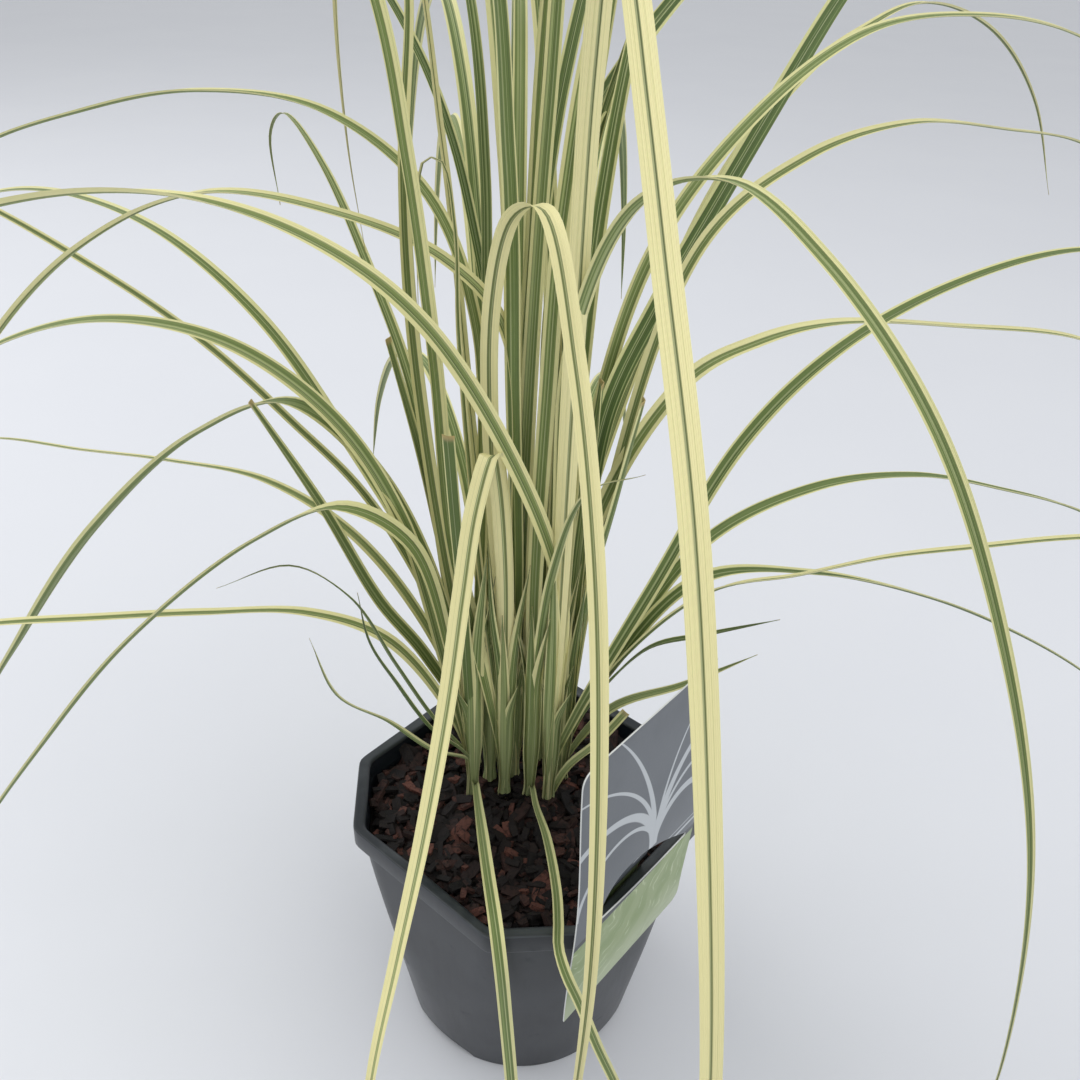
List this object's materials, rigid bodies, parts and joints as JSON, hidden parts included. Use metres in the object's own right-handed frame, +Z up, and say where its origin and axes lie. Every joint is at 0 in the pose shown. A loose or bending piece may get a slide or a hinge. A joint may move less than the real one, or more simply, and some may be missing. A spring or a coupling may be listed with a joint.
{
  "type": "potted pampas grass",
  "caption": "Clump of arching grass with striped green and cream blades, in a chamfered-square plastic nursery pot topped with bark, with a blank card label hooked on the rim.",
  "frame": {"origin": "middle of the pot's underside, on the surface that it stands on", "axes": "+Z up; the rim's short faces look along X and Y, and the label hangs on the long face between +X and -Y"},
  "size_m": [0.8617, 0.6483, 0.714],
  "materials": {
    "pot_plastic": "satin slate grey moulded plastic",
    "soil": "matt black peat potting mix",
    "bark": "matt dark red-brown bark chips",
    "label": "satin printed card, plain grey above and soft green below",
    "leaf": "satin leaf, green centre with cream margins"
  },
  "bodies": {
    "root": {"pot": "pot_plastic", "soil": "soil", "bark_mulch": "bark", "label_card": "label", "shoot_01": "leaf", "shoot_02": "leaf", "shoot_03": "leaf", "shoot_04": "leaf", "shoot_05": "leaf", "shoot_06": "leaf", "shoot_07": "leaf", "shoot_08": "leaf", "shoot_09": "leaf", "shoot_10": "leaf", "shoot_11": "leaf", "shoot_12": "leaf"}
  },
  "joints": []
}
